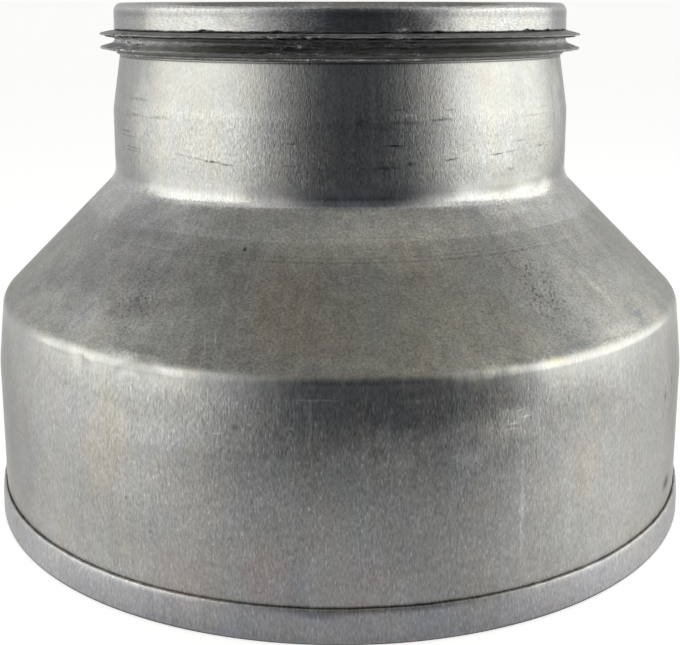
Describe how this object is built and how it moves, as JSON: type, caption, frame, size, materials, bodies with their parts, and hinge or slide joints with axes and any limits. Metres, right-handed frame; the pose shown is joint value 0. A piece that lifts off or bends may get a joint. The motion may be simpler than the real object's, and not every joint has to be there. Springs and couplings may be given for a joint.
{
  "type": "duct reducer",
  "caption": "Round concentric duct reducer in pressed galvanised sheet: a wide hemmed socket, a conical shoulder and a narrow spigot with a clamped rubber lip seal.",
  "frame": {"origin": "centre of the plane that the large end's hem stands on", "axes": "+Z along the duct's axis, from the large end to the small end"},
  "size_m": [0.1536, 0.1536, 0.1085],
  "materials": {
    "galvanised_sheet": "dull zinc coating with a fine grain along the axis, rub marks round the spigot",
    "seal_rubber": "matt dark grey moulded rubber"
  },
  "bodies": {
    "root": {"reducer_body": "galvanised_sheet", "lip_seal": "seal_rubber"}
  },
  "joints": []
}
